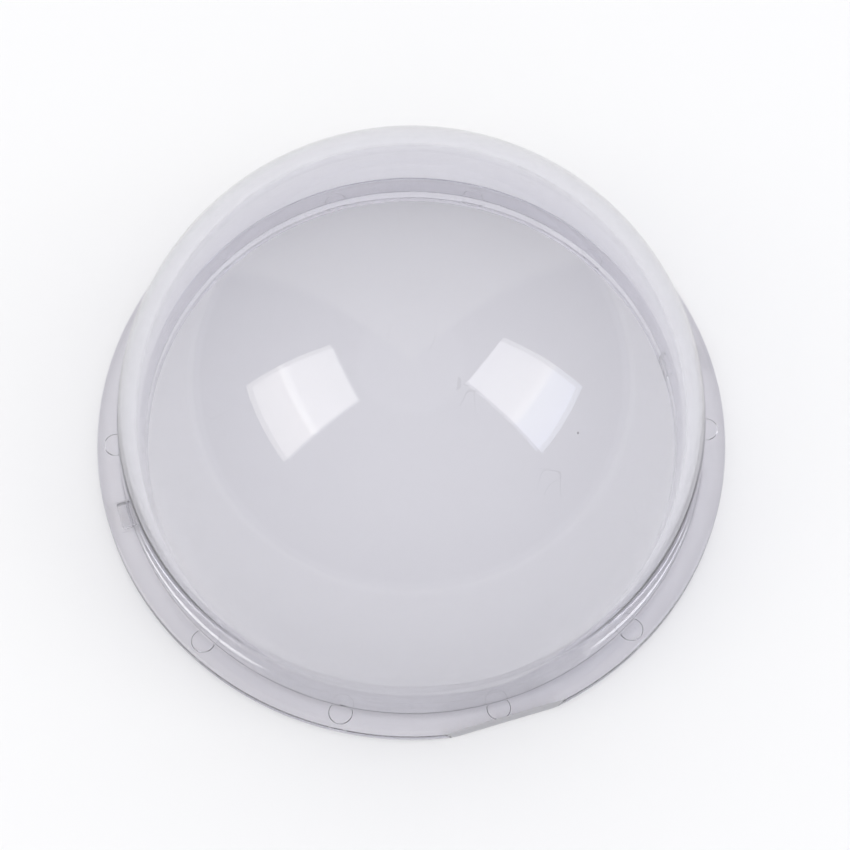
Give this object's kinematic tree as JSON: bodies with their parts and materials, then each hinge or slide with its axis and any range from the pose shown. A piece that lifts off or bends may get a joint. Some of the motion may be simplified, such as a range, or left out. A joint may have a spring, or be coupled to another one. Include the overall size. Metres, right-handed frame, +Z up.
{
  "type": "dome cover",
  "caption": "Clear moulded dome cover with a short drafted skirt and a flat clamping flange, keyed against turning, for enclosing a camera, sensor or lamp.",
  "frame": {"origin": "centre of the flange's underside, on the dome's axis", "axes": "+Z up the dome's axis, out through the apex; +X through the lone ejector mark that lies 15 degrees clockwise of one key slot, seen from above"},
  "size_m": [0.11, 0.11, 0.0596],
  "materials": {
    "clear_polycarbonate": "polished clear"
  },
  "bodies": {
    "root": {"dome_cover": "clear_polycarbonate"}
  },
  "joints": []
}
